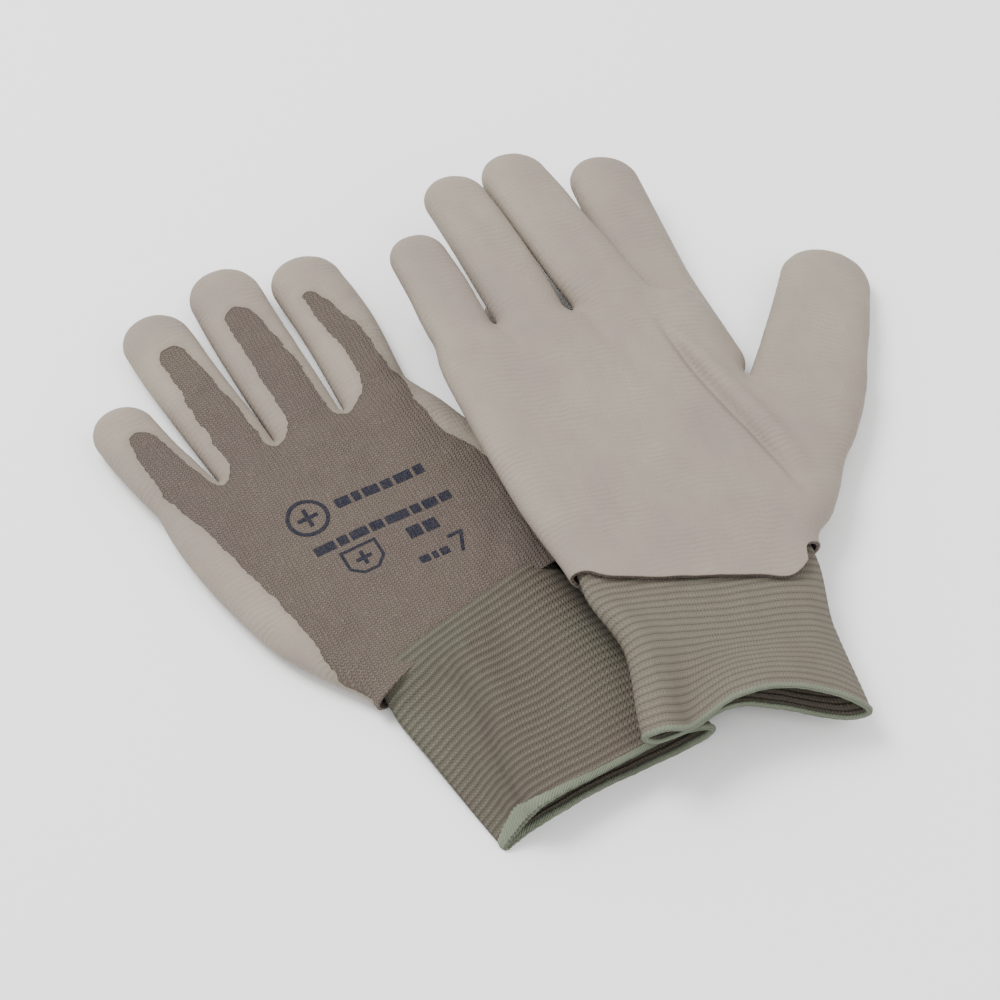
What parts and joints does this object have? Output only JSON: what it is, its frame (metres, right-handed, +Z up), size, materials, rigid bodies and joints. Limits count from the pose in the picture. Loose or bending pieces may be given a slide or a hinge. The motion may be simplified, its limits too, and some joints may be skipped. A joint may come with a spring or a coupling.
{
  "type": "pair of work gloves",
  "caption": "Pair of knitted work gloves with a dipped palm and ribbed cuff, one back up, one palm up, with bending fingers.",
  "frame": {"origin": "centre of the pair's plan, on the surface that the gloves lie on", "axes": "+Z up; +Y towards the fingertips of the pair; +X from the left glove towards the right glove"},
  "size_m": [0.2418, 0.2558, 0.0322],
  "materials": {
    "liner": "fine-gauge knitted nylon",
    "coating": "matte dipped polyurethane film",
    "cuff": "ribbed elastic knit",
    "elastic": "covered elastic yarn",
    "overlock": "overlock thread",
    "print": "heat-transfer ink"
  },
  "bodies": {
    "left_glove": {"left_hand_liner": "liner", "left_hand_coating": "coating", "left_thumb_liner": "liner", "left_thumb_coating": "coating", "left_cuff": "cuff", "left_cuff_elastic": "elastic", "left_cuff_overlock": "overlock", "left_overlock_tail": "overlock", "left_back_print": "print"},
    "left_little": {"left_little_liner": "liner", "left_little_coating": "coating"},
    "left_ring": {"left_ring_liner": "liner", "left_ring_coating": "coating"},
    "left_middle": {"left_middle_liner": "liner", "left_middle_coating": "coating"},
    "left_index": {"left_index_liner": "liner", "left_index_coating": "coating"},
    "right_glove": {"right_hand_liner": "liner", "right_hand_coating": "coating", "right_back_print": "print"},
    "right_wrist_end": {"right_cuff": "cuff", "right_cuff_elastic": "elastic", "right_cuff_overlock": "overlock", "right_overlock_tail": "overlock"},
    "right_little_base": {"right_little_base_liner": "liner", "right_little_base_coating": "coating"},
    "right_little_tip": {"right_little_tip_liner": "liner", "right_little_tip_coating": "coating"},
    "right_ring_base": {"right_ring_base_liner": "liner", "right_ring_base_coating": "coating"},
    "right_ring_tip": {"right_ring_tip_liner": "liner", "right_ring_tip_coating": "coating"},
    "right_middle_base": {"right_middle_base_liner": "liner", "right_middle_base_coating": "coating"},
    "right_middle_tip": {"right_middle_tip_liner": "liner", "right_middle_tip_coating": "coating"},
    "right_index_base": {"right_index_base_liner": "liner", "right_index_base_coating": "coating"},
    "right_index_tip": {"right_index_tip_liner": "liner", "right_index_tip_coating": "coating"},
    "right_thumb_base": {"right_thumb_base_liner": "liner", "right_thumb_base_coating": "coating"},
    "right_thumb_tip": {"right_thumb_tip_liner": "liner", "right_thumb_tip_coating": "coating"}
  },
  "joints": [
    {"name": "lift_right_glove", "type": "slide", "parent": "left_glove", "child": "right_glove", "axis": [0, 0, 1], "range_m": [0, 0.12]},
    {"name": "left_little_fold", "type": "hinge", "parent": "left_glove", "child": "left_little", "pos_m": [-0.09127, -0.00499, 0.01155], "axis": [0.7649, 0.6441, 0], "range_deg": [0, 75]},
    {"name": "left_ring_fold", "type": "hinge", "parent": "left_glove", "child": "left_ring", "pos_m": [-0.07551, 0.01167, 0.01155], "axis": [0.8387, 0.5446, 0], "range_deg": [0, 75]},
    {"name": "left_middle_fold", "type": "hinge", "parent": "left_glove", "child": "left_middle", "pos_m": [-0.0562, 0.0239, 0.01155], "axis": [0.8829, 0.4695, 0], "range_deg": [0, 75]},
    {"name": "left_index_fold", "type": "hinge", "parent": "left_glove", "child": "left_index", "pos_m": [-0.03529, 0.0359, 0.01155], "axis": [0.9018, 0.4321, 0], "range_deg": [0, 75]},
    {"name": "right_little_curl", "type": "hinge", "parent": "right_glove", "child": "right_little_base", "pos_m": [-0.00702, 0.04395, 0.03092], "axis": [0.9, 0.4099, -0.1483], "range_deg": [0, 75]},
    {"name": "right_little_tip_curl", "type": "hinge", "parent": "right_little_base", "child": "right_little_tip", "pos_m": [-0.01495, 0.06151, 0.0313], "axis": [0.9, 0.4099, -0.1483], "range_deg": [0, 75]},
    {"name": "right_ring_curl", "type": "hinge", "parent": "right_glove", "child": "right_ring_base", "pos_m": [0.01458, 0.05312, 0.0274], "axis": [0.8859, 0.4398, -0.1475], "range_deg": [0, 75]},
    {"name": "right_ring_tip_curl", "type": "hinge", "parent": "right_ring_base", "child": "right_ring_tip", "pos_m": [0.0014, 0.07989, 0.02813], "axis": [0.8859, 0.4398, -0.1475], "range_deg": [0, 75]},
    {"name": "right_middle_curl", "type": "hinge", "parent": "right_glove", "child": "right_middle_base", "pos_m": [0.03796, 0.06252, 0.0236], "axis": [0.8666, 0.477, -0.1464], "range_deg": [0, 75]},
    {"name": "right_middle_tip_curl", "type": "hinge", "parent": "right_middle_base", "child": "right_middle_tip", "pos_m": [0.02234, 0.09119, 0.0246], "axis": [0.8666, 0.477, -0.1464], "range_deg": [0, 75]},
    {"name": "right_index_curl", "type": "hinge", "parent": "right_glove", "child": "right_index_base", "pos_m": [0.05914, 0.07043, 0.02019], "axis": [0.9043, 0.4003, -0.1485], "range_deg": [0, 75]},
    {"name": "right_index_tip_curl", "type": "hinge", "parent": "right_index_base", "child": "right_index_tip", "pos_m": [0.04742, 0.0971, 0.02071], "axis": [0.9043, 0.4003, -0.1485], "range_deg": [0, 75]},
    {"name": "right_thumb_curl", "type": "hinge", "parent": "right_glove", "child": "right_thumb_base", "pos_m": [0.09767, 0.02858, 0.01645], "axis": [0.965, -0.2278, -0.1296], "range_deg": [0, 75]},
    {"name": "right_thumb_tip_curl", "type": "hinge", "parent": "right_thumb_base", "child": "right_thumb_tip", "pos_m": [0.10428, 0.05784, 0.01421], "axis": [0.965, -0.2278, -0.1296], "range_deg": [0, 75]},
    {"name": "right_wrist_fold", "type": "hinge", "parent": "right_glove", "child": "right_wrist_end", "pos_m": [0.05746, -0.03688, 0.02515], "axis": [-0.9265, -0.3453, 0.1493], "range_deg": [0, 60]}
  ]
}
